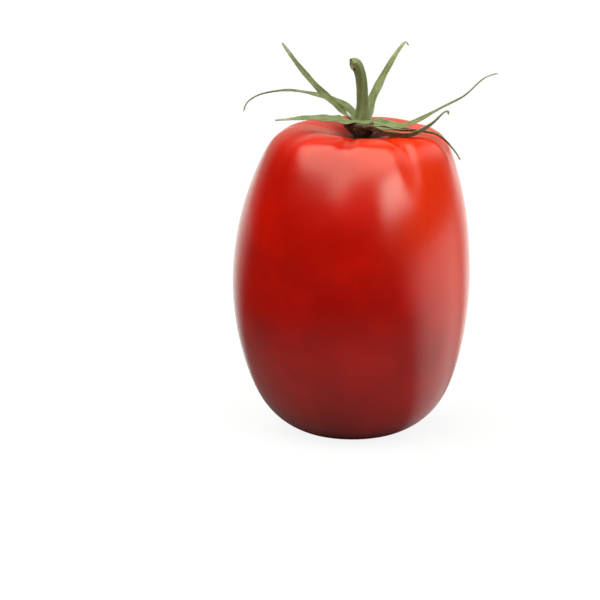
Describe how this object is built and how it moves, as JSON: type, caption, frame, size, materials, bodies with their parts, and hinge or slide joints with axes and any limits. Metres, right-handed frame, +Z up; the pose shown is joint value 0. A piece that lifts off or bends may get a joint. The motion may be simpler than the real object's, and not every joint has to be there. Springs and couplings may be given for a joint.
{
  "type": "tomato",
  "caption": "Ripe plum tomato standing on its blossom end, with a dried green calyx of curling sepals and a short cut stem.",
  "frame": {"origin": "middle of the flat spot on the blossom end that the fruit rests on", "axes": "+Z up from the blossom end to the stem, +X to the right and +Y away as the picture looks at it"},
  "size_m": [0.0598, 0.0539, 0.0898],
  "materials": {
    "tomato_skin": "smooth waxy red skin, softly glossy",
    "calyx_green": "dull, finely haired, grey-green",
    "stem_green": "dull, finely haired, ribbed olive green"
  },
  "bodies": {
    "root": {"fruit": "tomato_skin", "calyx": "calyx_green", "stem": "stem_green"}
  },
  "joints": []
}
